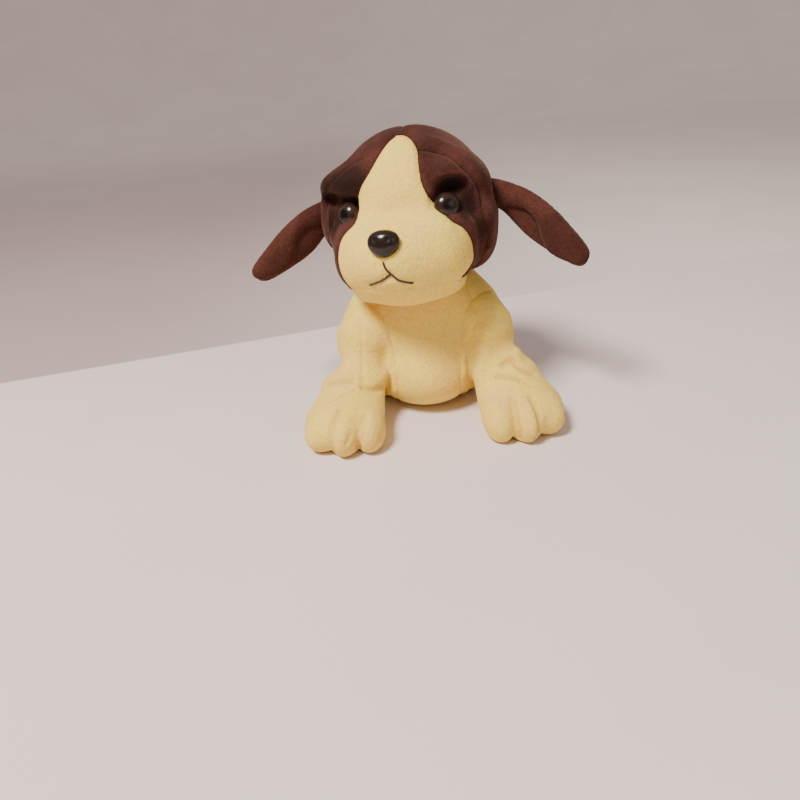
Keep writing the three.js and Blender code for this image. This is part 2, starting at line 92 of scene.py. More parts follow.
def rod(start, end, radius, end_radius):
    start, end = np.array(start, float), np.array(end, float)
    axis = end - start

    def distance(p):
        along = np.clip(((p - start) @ axis) / (axis @ axis), 0, 1)
        gap = np.sqrt(squared(p - start - along[:, None] * axis))
        return gap - radius - along * (end_radius - radius)

    return distance


def soft_min(a, b, soft):
    overlap = np.maximum(soft - np.abs(a - b), 0) / soft
    return np.minimum(a, b) - overlap**2 * soft / 4


def soft_max(a, b, soft):
    return -soft_min(-a, -b, soft)


def blend(parts, soft):
    def distance(p):
        nearest = parts[0](p)
        for part in parts[1:]:
            nearest = soft_min(nearest, part(p), soft)
        return nearest

    return distance


def on_floor(shape, soft=4):
    return lambda p: soft_max(shape(p), -p[:, 2], soft)


def grown(shape, reach):
    return lambda p: shape(p) - reach


def swelling(shape, at, size, height, tilt=(0, 0, 0)):
    """The shape with a soft bump, or with a dent where the height is negative."""
    at, size = np.array(at, float), np.array(size, float)
    turn = spin("Z", tilt[2]) @ spin("Y", tilt[1]) @ spin("X", tilt[0])

    def distance(p):
        q = (p - at) @ turn / size
        return shape(p) - height * np.exp(-squared(q))

    return distance


def path_distance(path):
    path = np.array(path, float)

    def distance(p):
        best = np.full(len(p), 1e12)
        for start, end in zip(path[:-1], path[1:]):
            axis = end - start
            along = np.clip(((p - start) @ axis) / (axis @ axis), 0, 1)
            best = np.minimum(best, squared(p - start - along[:, None] * axis))
        return np.sqrt(best)

    return distance


def creased(shape, path, depth, width):
    """The shape with a soft groove along a path, or a ridge where the depth is negative."""
    line = path_distance(eased(path, 3))
    return lambda p: shape(p) + depth * np.exp(-((line(p) / width) ** 2))


def hollowed(shape, pocket, soft):
    return lambda p: soft_max(shape(p), -pocket(p), soft)


HEAD_TURN = spin("Z", HEAD_FACING) @ spin("Y", HEAD_ROLL)


def placed(shape):
    """A head shape where the head is."""
    return lambda p: shape((p - HEAD_AT) @ HEAD_TURN)


def swept(shape, pivot, axis, degrees):
    turns = [np.array(Matrix.Rotation(math.radians(d), 3, Vector(axis))) for d in degrees]
    return lambda p: np.min([shape((p - pivot) @ turn + pivot) for turn in turns], axis=0)


def cleared(shape, movers, gap):
    """The shape, kept clear of what moves beside it. Movers are worked out only near the surface."""

    def distance(p):
        d = shape(p)
        for mover in movers:
            near = d < 6
            d[near] = np.maximum(d[near], gap - mover(p[near]))
        return d

    return distance


def eased(path, steps, closed=False):
    """Points on a smooth curve through the path."""
    path = np.array(path, float)
    count = len(path)
    spans = count if closed else count - 1
    points = []
    for i in range(spans):
        ids = [(i + k) % count if closed else min(max(i + k, 0), count - 1) for k in (-1, 0, 1, 2)]
        a, b, c, d = path[ids]
        for t in np.arange(steps) / steps:
            points.append(
                0.5 * (2 * b + (c - a) * t + (2 * a - 5 * b + 4 * c - d) * t**2
                       + (3 * b - a - 3 * c + d) * t**3)
            )
    if not closed:
        points.append(path[-1])
    return np.array(points)


def both_halves(half):
    return half + [[-x, z] for x, z in reversed(half) if x]


def outline_field(outline, behind):
    """Below zero inside a front-view outline (x, z) and ahead of y = behind."""
    ring = eased(outline, 8, closed=True)

    def field(p):
        q = p[:, [0, 2]]
        best = np.full(len(q), 1e12)
        inside = np.zeros(len(q), bool)
        for a, b in zip(ring, np.roll(ring, -1, axis=0)):
            axis = b - a
            along = np.clip(((q - a) @ axis) / max(axis @ axis, 1e-12), 0, 1)
            best = np.minimum(best, squared(q - a - along[:, None] * axis))
            if a[1] != b[1]:
                spans = (a[1] > q[:, 1]) != (b[1] > q[:, 1])
                inside ^= spans & (q[:, 0] < a[0] + (q[:, 1] - a[1]) * axis[0] / axis[1])
        best = np.sqrt(best)
        return np.maximum(np.where(inside, -best, best), p[:, 1] - behind)

    return field


# ---------- meshes of shapes ----------
def slope(shape, p, step=0.05):
    out = np.empty_like(p)
    for k in range(3):
        move = np.zeros(3)
        move[k] = step
        out[:, k] = (shape(p + move) - shape(p - move)) / (2 * step)
    return out


def settle(shape, p, rounds=2):
    """Moves points onto the surface; returns them with the surface's outward direction."""
    for _ in range(rounds):
        away = slope(shape, p)
        size = np.maximum((away**2).sum(1), 0.05)
        step = np.clip(shape(p) / size, -2, 2)
        p = p - step[:, None] * away
    away = slope(shape, p)
    return p, away / np.maximum(np.linalg.norm(away, axis=1), 1e-9)[:, None]


def neighbour_mean(p, faces):
    count = np.zeros(len(p))
    total = np.zeros_like(p)
    for a, b in ((0, 1), (1, 2), (2, 0)):
        for i, j in ((faces[:, a], faces[:, b]), (faces[:, b], faces[:, a])):
            count += np.bincount(i, minlength=len(p))
            for k in range(3):
                total[:, k] += np.bincount(i, p[j, k], minlength=len(p))
    return total / np.maximum(count, 1)[:, None]


def skin(shape, low, high, cell=CELL):
    """A closed triangle mesh of the shape's surface, one vertex to a cell that the surface crosses."""
    # a coarse look first: the fine grid is worked out only in blocks near the surface
    block = 5
    blocks = [int(math.ceil((b - a) / cell / block)) for a, b in zip(low, high)]
    reach = block * cell
    middles = [a + (np.arange(n) + 0.5) * reach for a, n in zip(low, blocks)]
    middle = np.stack(np.meshgrid(*middles, indexing="ij"), -1).reshape(-1, 3)
    coarse = shape(middle)
    value = np.repeat(coarse, block**3).reshape([*blocks, block, block, block])
    near = np.abs(coarse.reshape(blocks)) < reach * 1.9
    step = (np.arange(block) - (block - 1) / 2) * cell
    inner = np.stack(np.meshgrid(step, step, step, indexing="ij"), -1).reshape(1, -1, 3)
    at = middle.reshape([*blocks, 3])[near]
    fine = [shape((part[:, None] + inner).reshape(-1, 3)) for part in np.array_split(at, len(at) // 900 + 1)]
    value[near] = np.concatenate(fine).reshape(-1, block, block, block)
    value = value.transpose(0, 3, 1, 4, 2, 5).reshape([n * block for n in blocks])
    low = np.array(low, float) + cell / 2
    cells = np.array(value.shape) - 1
    total, count, quads = np.zeros((cells.prod(), 3)), np.zeros(cells.prod()), []
    for axis in range(3):
        first, second = [slice(None)] * 3, [slice(None)] * 3
        first[axis], second[axis] = slice(None, -1), slice(1, None)
        a, b = value[tuple(first)], value[tuple(second)]
        crossed = (a < 0) != (b < 0)
        at = np.argwhere(crossed)
        a, b = a[crossed], b[crossed]
        place = at.astype(float)
        place[:, axis] += a / (a - b)
        u, v = [k for k in range(3) if k != axis]
        around = []
        fits = ((at[:, [u, v]] > 0) & (at[:, [u, v]] < cells[[u, v]])).all(1)
        at, place, a = at[fits], place[fits], a[fits]
        for du, dv in ((0, 0), (-1, 0), (-1, -1), (0, -1)):
            cell_at = at.copy()
            cell_at[:, u] += du
            cell_at[:, v] += dv
            index = np.ravel_multi_index(cell_at.T, cells)
            around.append(index)
            count += np.bincount(index, minlength=len(count))
            for k in range(3):
                total[:, k] += np.bincount(index, place[:, k], minlength=len(count))
        ring = np.stack(around, 1)
        flip = (a >= 0) ^ (axis == 1)
        ring[flip] = ring[flip][:, ::-1]
        quads.append(ring)
    used = np.flatnonzero(count)
    number = np.full(len(count), -1)
    number[used] = np.arange(len(used))
    points = total[used] / count[used][:, None] * cell + low
    quads = number[np.concatenate(quads)]
    faces = np.concatenate([quads[:, [0, 1, 2]], quads[:, [0, 2, 3]]])
    points, away = settle(shape, points, 3)
    for _ in range(2):
        move = (neighbour_mean(points, faces) - points) * 0.6
        move -= (move * away).sum(1)[:, None] * away
        points, away = settle(shape, points + move, 1)
    return points, faces


class Panels:
    """A mesh that seams divide into named panels."""

    def __init__(self, points, faces, name):
        self.points, self.faces = points, faces
        self.names = [name]
        self.label = np.zeros(len(faces), int)

    def seam(self, field, name, among):
        """Faces in the panels `among` are cut where the field is zero; those below it are named."""
        pick = np.isin(self.label, [self.names.index(a) for a in among])
        value = field(self.points)
        value[np.abs(value) < 0.08 * CELL] = 0
        sign = np.sign(value[self.faces])
        mixed = pick & (sign.min(1) < 0) & (sign.max(1) > 0)
        made, extra, parts, part_label = {}, [], [], []

        def middle(i, j):
            key = (min(i, j), max(i, j))
            if key not in made:
                t = value[key[0]] / (value[key[0]] - value[key[1]])
                made[key] = len(self.points) + len(extra)
                extra.append(self.points[key[0]] * (1 - t) + self.points[key[1]] * t)
            return made[key]

        for face, signs, label in zip(self.faces[mixed], sign[mixed], self.label[mixed]):
            flat = np.flatnonzero(signs == 0)
            if len(flat):
                a, b, c = np.roll(face, -flat[0])
                m = middle(b, c)
                cut = [(a, b, m), (a, m, c)]
            else:
                lone = next(k for k in range(3) if (signs == signs[k]).sum() == 1)
                a, b, c = np.roll(face, -lone)
                m, n = middle(a, b), middle(a, c)
                cut = [(a, m, n), (m, b, c), (m, c, n)]
            parts += cut
            part_label += [label] * len(cut)
        if parts:
            self.points = np.concatenate([self.points, extra])
            value = np.concatenate([value, np.zeros(len(extra))])
            self.faces = np.concatenate([self.faces[~mixed], parts])
            self.label = np.concatenate([self.label[~mixed], part_label])
            pick = np.isin(self.label, [self.names.index(a) for a in among])
        if name not in self.names:
            self.names.append(name)
        self.label[pick & (value[self.faces].sum(1) < 0)] = self.names.index(name)

    def edges(self, strength):
        """Points along the seams, close together, and how strongly each draws in."""
        sides = {}
        for face, label in zip(self.faces, self.label):
            for i, j in ((face[0], face[1]), (face[1], face[2]), (face[2], face[0])):
                sides.setdefault((min(i, j), max(i, j)), []).append(label)
        found = {key: labels for key, labels in sides.items() if len(set(labels)) > 1}
        if not found:
            return np.zeros((0, 3)), np.zeros(0)
        ends = self.points[np.array(list(found))]
        points = np.concatenate([ends[:, 0] * (1 - t) + ends[:, 1] * t for t in (0, 0.25, 0.5, 0.75)])
        draw = [strength.get(frozenset(self.names[k] for k in labels), 1.0) for labels in found.values()]
        return points, np.tile(draw, 4)

    def panel(self, name):
        faces = self.faces[self.label == self.names.index(name)]
        used, inverse = np.unique(faces, return_inverse=True)
        return used, inverse.reshape(-1, 3)


def lookup(points):
    tree = KDTree(len(points))
    for i, point in enumerate(points):
        tree.insert(point, i)
    tree.balance()
    return tree


def nearest(points, targets):
    """How far each point is from the nearest target, and which target that is."""
    if not len(targets):
        return np.full(len(points), 1e6), np.zeros(len(points), int)
    tree = lookup(targets)
    found = [tree.find(p) for p in points]
    return np.array([f[2] for f in found]), np.array([f[1] for f in found])


def shell(points, faces, away, thickness=FABRIC):
    """A closed layer of fabric: the faces, the same faces further in, and a rim."""
    directed = np.concatenate([faces[:, [0, 1]], faces[:, [1, 2]], faces[:, [2, 0]]])
    known = set(map(tuple, directed))
    rim = np.array([e for e in directed if (e[1], e[0]) not in known])
    count = len(points)
    inner = points - away * thickness
    both = [faces, faces[:, ::-1] + count]
    if len(rim):
        a, b = rim.T
        both += [np.stack([b, a, a + count], 1), np.stack([b, a + count, b + count], 1)]
    return np.concatenate([points, inner]), np.concatenate(both)


# ---------- materials ----------
def shade(name, colour, roughness=0.9):
    material = bpy.data.materials.new(name)
    material.use_nodes = True
    tree = material.node_tree
    surface = tree.nodes["Principled BSDF"]
    surface.inputs["Base Color"].default_value = (*colour, 1)
    surface.inputs["Roughness"].default_value = roughness
    return material, tree, surface


def linear(red, green, blue):
    return tuple((c / 255 / 12.92) if c <= 10 else ((c / 255 + 0.055) / 1.055) ** 2.4
                 for c in (red, green, blue))


def node(tree, kind, **settings):
    made = tree.nodes.new(kind)
    for key, value in settings.items():
        if key in made.inputs:
            made.inputs[key].default_value = value
        else:
            setattr(made, key, value)
    return made


def mixed(tree, factor, first, second, mode="MIX"):
    """A colour mix; each part is a socket or a constant."""
    made = tree.nodes.new("ShaderNodeMix")
    made.data_type, made.blend_type = "RGBA", mode
    for socket, value in ((made.inputs[0], factor), (made.inputs[6], first), (made.inputs[7], second)):
        if isinstance(value, bpy.types.NodeSocket):
            tree.links.new(value, socket)
        elif isinstance(value, (int, float)):
            socket.default_value = value
        else:
            socket.default_value = (*value, 1)
    return made.outputs[2]


def ranged(tree, source, low, high, to_low=0.0, to_high=1.0):
    made = node(tree, "ShaderNodeMapRange")
    made.interpolation_type = "SMOOTHSTEP"
    made.inputs["From Min"].default_value, made.inputs["From Max"].default_value = low, high
    made.inputs["To Min"].default_value, made.inputs["To Max"].default_value = to_low, to_high
    tree.links.new(source, made.inputs["Value"])
    return made.outputs["Result"]


def noise(tree, place, scale, detail=2.0, roughness=0.5, distortion=0.0):
    made = node(tree, "ShaderNodeTexNoise", Scale=scale, Detail=detail, Roughness=roughness,
                Distortion=distortion)
    tree.links.new(place, made.inputs["Vector"])
    return made.outputs["Fac"]


def fabric(name, colour, patch, shadow, grain, sheen, sheen_tint, pile, seam, grain_scale=620):
    """Short-pile plush: fine clumps and faint large patches, plus painted shade where the crease value says.
    """
    material, tree, surface = shade(name, colour)
    place = tree.nodes.new("ShaderNodeTexCoord").outputs["Object"]
    fine = noise(tree, place, grain_scale, 3, 0.7, 0.3)
    broad = noise(tree, place, 30, 3, 0.6, 0.8)
    middle = noise(tree, place, 240, 2, 0.55, 0.4)
    clumps = node(tree, "ShaderNodeTexVoronoi", Scale=grain_scale * 0.9, Randomness=1.0)
    tree.links.new(place, clumps.inputs["Vector"])
    base = mixed(tree, ranged(tree, broad, 0.36, 0.64), colour, patch)
    base = mixed(tree, ranged(tree, middle, 0.35, 0.7, 0, grain * 0.25), base, shadow)
    base = mixed(tree, ranged(tree, fine, 0.46, 0.66, 0, grain), base, shadow)
    base = mixed(tree, ranged(tree, clumps.outputs["Distance"], 0.25, 0.7, 0, grain * 0.8), base, shadow)
    # painted shade: the crease attribute mixes in the dark tone of the grain at seam grooves, creases and
    # hollows
    crease = node(tree, "ShaderNodeAttribute", attribute_name="crease").outputs["Fac"]
    base = mixed(tree, ranged(tree, crease, 0.1, 1.0, 0, seam), base, shadow)
    tree.links.new(base, surface.inputs["Base Color"])
    surface.inputs["Sheen Weight"].default_value = sheen
    surface.inputs["Sheen Roughness"].default_value = 0.45
    surface.inputs["Sheen Tint"].default_value = (*sheen_tint, 1)
    surface.inputs["Specular IOR Level"].default_value = 0.1
    tree.links.new(ranged(tree, fine, 0.3, 0.7, 0.88, 1.0), surface.inputs["Roughness"])
    strands = noise(tree, place, grain_scale * 3.2, 2, 0.6)
    normal = None
    for height, strength, distance in ((middle, pile, 0.0005), (clumps.outputs["Distance"], pile, 0.0004),
                                       (strands, pile * 1.2, 0.0003)):
        bump = node(tree, "ShaderNodeBump", Strength=strength, Distance=distance)
        tree.links.new(height, bump.inputs["Height"])
        if normal:
            tree.links.new(normal, bump.inputs["Normal"])
        normal = bump.outputs["Normal"]
    tree.links.new(normal, surface.inputs["Normal"])
    return material


def thread(name, colour, dark):
    material, tree, surface = shade(name, colour, 0.75)
    place = tree.nodes.new("ShaderNodeTexCoord").outputs["Object"]
    fibres = noise(tree, place, 1800, 3, 0.7)
    tree.links.new(mixed(tree, ranged(tree, fibres, 0.3, 0.7), dark, colour), surface.inputs["Base Color"])
    bump = node(tree, "ShaderNodeBump", Strength=0.5, Distance=0.0002)
    tree.links.new(fibres, bump.inputs["Height"])
    tree.links.new(bump.outputs["Normal"], surface.inputs["Normal"])
    surface.inputs["Sheen Weight"].default_value = 0.2
    return material


def plastic(name, colour, deep, gloss, centre=None):
    """Moulded plastic with a faint mottle; a centre gives a darker round middle."""
    material, tree, surface = shade(name, colour, gloss)
    place = tree.nodes.new("ShaderNodeTexCoord").outputs["Object"]
    cloudy = noise(tree, place, 260, 3, 0.5)
    base = mixed(tree, ranged(tree, cloudy, 0.35, 0.7, 0, 0.35), colour, deep)
    if centre is not None:
        far = tree.nodes.new("ShaderNodeVectorMath")
        far.operation = "DISTANCE"
        tree.links.new(place, far.inputs[0])
        far.inputs[1].default_value = centre
        base = mixed(tree, ranged(tree, far.outputs["Value"], 0.0029, 0.0035), deep, base)
    tree.links.new(base, surface.inputs["Base Color"])
    tree.links.new(ranged(tree, cloudy, 0.3, 0.8, gloss, gloss + 0.06), surface.inputs["Roughness"])
    surface.inputs["Specular IOR Level"].default_value = 0.35
    surface.inputs["Coat Weight"].default_value = 0.12
    surface.inputs["Coat Roughness"].default_value = 0.04
    return material


# the third colour is the dark tone of both the grain and the painted shade; the eighth argument sets how
# strongly the painted shade darkens
CREAM = fabric("cream_fleece", linear(247, 219, 103), linear(245, 211, 107), linear(202, 162, 82),
               0.22, 0.12, (1.0, 0.92, 0.7), 0.6, 0.5)
BROWN = fabric("brown_velour", linear(86, 49, 41), linear(66, 36, 30), linear(18, 9, 7),
               0.22, 0.16, (0.8, 0.52, 0.44), 0.55, 0.9, 760)
FIBRE = fabric("polyester_fill", linear(238, 236, 228), linear(230, 228, 222), linear(200, 198, 190),
               0.4, 0.3, (1, 1, 1), 0.8, 0.3, 420)
MOUTH = thread("black_thread", linear(72, 44, 28), linear(34, 20, 14))
STITCH = thread("cream_thread", linear(206, 186, 138), linear(170, 146, 104))
NOSE = plastic("black_plastic", linear(34, 22, 17), linear(16, 9, 8), 0.2)
WASHER = plastic("white_plastic", linear(226, 226, 220), linear(206, 206, 200), 0.4)


# ---------- pieces ----------
def piece(name, points, faces, material, crease=None):
    mesh = bpy.data.meshes.new(name)
    mesh.from_pydata((points * MM).tolist(), [], faces.tolist())
    mesh.polygons.foreach_set("use_smooth", [True] * len(mesh.polygons))
    if crease is not None:
        mesh.attributes.new("crease", "FLOAT", "POINT").data.foreach_set(
            "value", np.ascontiguousarray(crease, np.float32))
    mesh.materials.append(material)
    mesh.update()
    obj = bpy.data.objects.new(name, mesh)
    bpy.context.scene.collection.objects.link(obj)
    return obj


def to_world(p):
    return p @ HEAD_TURN.T + HEAD_AT


def sewn(shape, panels, finishes, frame_of=None, depth=1.15, width=1.7, plump=0.5, lift=0.0,
         relief=None, strength=None, nap=None):
    """Makes each panel as a layer of fabric that turns in at its seams. Returns {name: object}."""
    points, away = settle(shape, panels.points, 1)
    panels.points = points
    edges, draw = panels.edges({frozenset(pair): value for pair, value in (strength or {}).items()})
    gap, which = nearest(points, edges)
    weight = draw[which] if len(edges) else np.zeros(len(points))
    move = lift - weight * (depth * np.exp(-((gap / width) ** 2))
                            + plump * np.exp(-((gap / (width * 3.2)) ** 2)))
    if relief is not None:
        move = move + relief(points)
    points = points + away * move[:, None]
    # painted shade: the crease value darkens the cloth along the seam grooves, and the zones of the last
    # argument darken it further
    crease = 0.5 * weight * np.exp(-((gap / (width * 0.8)) ** 2))
    if nap is not None:
        crease = np.maximum(crease, nap(points))
    made = {}
    for name, (material, slot) in finishes.items():
        used, faces = panels.panel(name)
        layer, sides = shell(points[used], faces, away[used])
        if frame_of:
            layer = frame_of(layer)
        made[name] = piece(name + "_cloth", layer, sides, material, np.tile(crease[used], 2))
    return made


def blown(shape, low, high, held, cap=CLOTH_LIFT):
    """A cloth run: the cover, pinned along the lines where it is held in, swells under the stuffing.

    Returns how far it lifts at any point near the surface."""
    points, faces = skin(shape, low, high, CLOTH_CELL)
    mesh = bpy.data.meshes.new("cover")
    mesh.from_pydata((points * MM).tolist(), [], faces.tolist())
    cover = bpy.data.objects.new("cover", mesh)
    bpy.context.scene.collection.objects.link(cover)
    gap, _ = nearest(points, held)
    pins = cover.vertex_groups.new(name="held")
    for i in np.flatnonzero(gap < 8):
        pins.add([int(i)], float(np.clip(1.3 - gap[i] / 6, 0, 1)), "REPLACE")
    cloth = cover.modifiers.new("cloth", "CLOTH")
    settings = cloth.settings
    settings.quality, settings.mass = 5, 0.3
    settings.use_pressure, settings.uniform_pressure_force = True, CLOTH_PRESSURE
    settings.effector_weights.gravity = 0
    settings.vertex_group_mass = pins.name
    settings.tension_stiffness = settings.compression_stiffness = 5
    settings.bending_stiffness = 0.05
    cloth.point_cache.frame_start, cloth.point_cache.frame_end = 1, CLOTH_FRAMES
    for step in range(1, CLOTH_FRAMES + 1):
        bpy.context.scene.frame_set(step)
    result = cover.evaluated_get(bpy.context.evaluated_depsgraph_get()).to_mesh()
    moved = np.empty(len(result.vertices) * 3)
    result.vertices.foreach_get("co", moved)
    away = settle(shape, points, 1)[1]
    lift = ((moved.reshape(-1, 3) / MM - points) * away).sum(1)
    lift = np.clip(lift, -cap, cap) * np.clip(gap / 3, 0, 1)
    bpy.data.objects.remove(cover)
    bpy.data.meshes.remove(mesh)
    bpy.context.scene.frame_set(1)
    for _ in range(2):
        spread = neighbour_mean(np.repeat(lift[:, None], 3, axis=1), faces)[:, 0]
        lift = (lift + spread) / 2
    tree = lookup(points)

    def field(p):
        out = np.zeros(len(p))
        for i, point in enumerate(p):
            found = tree.find_n(point, 5)
            share = np.array([1 / (f[2] + 0.8) ** 2 for f in found])
            out[i] = (share * lift[[f[1] for f in found]]).sum() / share.sum()
        return out

    return field


def filled(name, shape, low, high, body, frame_of=None):
    points, faces = skin(grown(shape, -FILLING_DEPTH), low, high, FILLING_CELL)
    if frame_of:
        points = frame_of(points)
    obj = piece(name + "_wad", points, faces, FIBRE)
    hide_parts(name)
    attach(obj, body)
    return obj


def strips(count, ring):
    """Triangles between each ring of points and the next."""
    faces = []
    for i in range(count):
        for k in range(ring):
            a, b = i * ring + k, i * ring + (k + 1) % ring
            faces += [(a, b, b + ring), (a, b + ring, a + ring)]
    return faces


def tube(name, path, radius, material, frame_of=None, twist=2.4):
    """A twisted thread of two plies along a smooth path, with rounded ends."""
    path = eased(path, 14)
    along = np.gradient(path, axis=0)
    along /= np.linalg.norm(along, axis=1)[:, None]
    length = np.concatenate([[0], np.cumsum(np.linalg.norm(np.diff(path, axis=0), axis=1))])
    side = np.cross(along, [0.0, 1.0, 0.0])
    side /= np.linalg.norm(side, axis=1)[:, None]
    up = np.cross(side, along)
    ring = 10
    angle = np.arange(ring) / ring * 2 * math.pi
    from_end = (1 - np.minimum(length, length[-1] - length) / radius).clip(0, 1)
    taper = np.sqrt(np.clip(1 - from_end**2, 0.04, 1))
    rows = []
    for i in range(len(path)):
        ply = radius * taper[i] * (0.86 + 0.2 * np.abs(np.cos(angle - length[i] * twist)))
        rows.append(path[i] + np.cos(angle)[:, None] * ply[:, None] * side[i]
                    + np.sin(angle)[:, None] * ply[:, None] * up[i])
    points = np.concatenate(rows + [path[:1], path[-1:]])
    faces = strips(len(path) - 1, ring)
    first, last, end = len(points) - 2, len(points) - 1, (len(path) - 1) * ring
    for k in range(ring):
        faces += [(first, (k + 1) % ring, k), (last, end + k, end + (k + 1) % ring)]
    if frame_of:
        points = frame_of(points)
    return piece(name, points, np.array(faces), material)


# ---------- head ----------
head_round = blend([
    egg((0, 3, 3), (44, 42, 42.5)),
    egg((0, 6, -6), (47.5, 38, 32)),
    egg((30, -10, 15), (15.5, 17, 14)),
    egg((-30, -10, 15), (15.5, 17, 14)),
    egg((33, -12, -4), (13, 20, 13)),
    egg((-33, -12, -4), (13, 20, 13)),
    egg((32, 4, -20), (13, 20, 14)),
    egg((-32, 4, -20), (13, 20, 14)),
    egg((14.5, -26, -16), (24, 29, 24)),
    egg((-14.5, -26, -16), (24, 29, 24)),
    egg((0, -42, -14), (21, 20, 18)),
    egg((0, -28, -25), (24, 26, 18)),
], 8)

FACE = [[2.5, 42.8], [8, 40.5], [12.2, 35.6], [13.6, 29], [14.8, 21], [17.2, 15.2], [21.8, 8.8],
        [29, 2.4], [35.2, -3.3], [38.4, -9.7], [38.8, -17], [37, -24], [32, -29], [24, -31],
        [0, -31.5], [-20, -31], [-27, -28.5], [-31, -23], [-32.5, -15], [-32, -8], [-30, -2.5],
        [-26.5, 1.6], [-22.4, 4.8], [-20.6, 9], [-20.8, 14], [-18.8, 18.8], [-15.2, 24.5],
        [-10.6, 31], [-6.4, 37.2], [-2.4, 41.4]]
BROW_HALF = [[0, 35.5], [12.7, 35], [21, 32.5], [29, 29], [35, 24], [39.2, 18.5], [42.3, 11],
             [43.8, 0], [44.6, -9], [43, -18], [40, -25], [35, -31], [0, -31]]
CHIN = [[0, -27], [20, -27], [31, -29], [34, -36], [30, -50], [0, -60], [-28, -50], [-31, -36],
        [-26.5, -29], [-18, -27]]
face_field = outline_field(FACE, -4)
brow_field = outline_field(both_halves(BROW_HALF), -9)
chin_field = outline_field(CHIN, -14)

head_form = head_round
for k in (1, -1):
    # puffed cheek below the eye, full side behind the hood
    head_form = swelling(head_form, (k * 27, -36, 0), (8, 9, 3.6), 0.9)
    head_form = swelling(head_form, (k * 45, -10, 6), (7, 9, 14), 1.0)

# its left: a lobe beside the blaze and over the eye, a deep pocket below it, a valley down the side
for at, size, height in (((19.5, -33, 20), (4.5, 8, 8), 1.7), ((28, -28, 25.5), (10, 8, 4.2), 2.3),
                         ((38, -21, 21), (8, 9, 7), 1.8)):
    head_form = swelling(head_form, at, size, height)
head_form = creased(head_form, [(33, -27, 20), (38, -25.5, 13), (42.5, -23, 3), (45.5, -17, -9),
                                (44.5, -11, -19)], -1.8, 3.4)
head_form = hollowed(head_form, egg((29.5, -31, 15.4), (8.4, 9.4, 6), (0, 0, 18)), 1.6)
head_form = creased(head_form, [(33.5, -28, 13), (37, -27.5, 6), (40, -25.5, -2), (42, -22.5, -11),
                                (41, -16, -20)], 2.6, 2.6)
head_form = swelling(head_form, (36, -29, 10.5), (4.6, 8, 7), -3.2)
head_form = swelling(head_form, (21, -34.5, 10.5), (2.6, 5, 3), -2.4)

# its right: the lobe folds over the eye along a sharp crease that runs out to the side
head_form = swelling(head_form, (-24, -29, 22.5), (12, 8, 4.6), 2.0)
head_form = swelling(head_form, (-39, -18, 22.5), (8, 11, 5), 3.6)
head_form = hollowed(head_form, egg((-28.5, -31, 12.6), (9, 8.5, 4.6), (0, 0, -22)), 1.4)
head_form = hollowed(head_form, egg((-38.5, -24, 14.2), (9, 5.6, 4), (0, 0, -40)), 1.6)
head_form = swelling(head_form, (-35.5, -28.5, 7.5), (4.6, 8, 8), -3.4)
head_form = creased(head_form, [(-39, -25, 10), (-40.5, -23.5, 1), (-41, -21, -9),
                                (-39.5, -16, -19)], 2.4, 2.4)
head_form = creased(head_form, [(-45, -16, 12), (-46, -14, 0), (-45.5, -12, -11)], -1.2, 3.2)

head_form = swelling(head_form, (1.5, -60, -22), (7, 8, 5), 0.9)
MOUTH_LEFT = [(1.0, -62, -18.0), (-2.6, -61.4, -19.8), (-6.8, -60, -22.0), (-13.2, -56.8, -24.4)]
MOUTH_RIGHT = [(1.0, -62, -18.0), (4.6, -61.2, -21.2), (8.2, -59.8, -23.4), (11.4, -58.2, -24.6)]
MOUTH_TOP = [(-2.1, -61.6, -10.8), (-1.2, -62, -14.0), (1.0, -62, -18.0)]
for path, depth in ((MOUTH_LEFT, 1.2), (MOUTH_RIGHT, 1.2), (MOUTH_TOP, 0.8)):
    head_form = creased(head_form, path, depth, 1.9)
head_form = creased(head_form, [(1.2, -61, -19), (1.6, -57, -27), (1.4, -52, -34)], 0.5, 1.8)


def head_relief(p):
    """A raised hood behind the brow seam, a fine ridge along it and a valley ahead of it."""
    brow = brow_field(p)
    sides = np.clip((np.abs(p[:, 0]) - 11) / 9, 0, 1) * np.clip((-7 - p[:, 1]) / 6, 0, 1)
    sides = sides * np.where(p[:, 0] < 0, 1 - 0.7 * np.clip((p[:, 2] - 6) / 10, 0, 1), 1.0)
    hood = 1.5 * np.exp(-(((brow - 3.6) / 2.6) ** 2))
    ridge = 0.45 * np.exp(-(((brow + 1.3) / 0.8) ** 2)) * np.clip(p[:, 2] / 5, 0, 1)
    valley = 0.5 * np.exp(-(((brow + 3.4) / 2.0) ** 2)) * np.clip(face_field(p) / 2, 0, 1)
    return sides * (hood + ridge - valley)


def head_nap(p):
    """Painted shade on the brown cover: darker under the brows, round both eyes and down both sides.

    The zones are placed to match the photo, where pile and shadow can't be told apart."""
    dark = np.zeros(len(p))
    for at, size, much in (((-26, -28, 25), (15, 16, 11), 0.85), ((-40, -20, 20), (9, 12, 10), 0.85),
                           ((-31, -30, 12), (13, 12, 7), 1.0), ((29.5, -28, 15), (9, 12, 7), 1.0),
                           ((36, -27, 7), (6.5, 10, 11), 0.9), ((-38, -26, 3), (7, 11, 12), 0.85),
                           ((42, -20, -8), (4.5, 12, 13), 0.6), ((-43, -14, -8), (5, 12, 14), 0.5)):
        dark = np.maximum(dark, much * np.exp(-squared((p - np.array(at)) / np.array(size)) ** 1.6))
    return dark


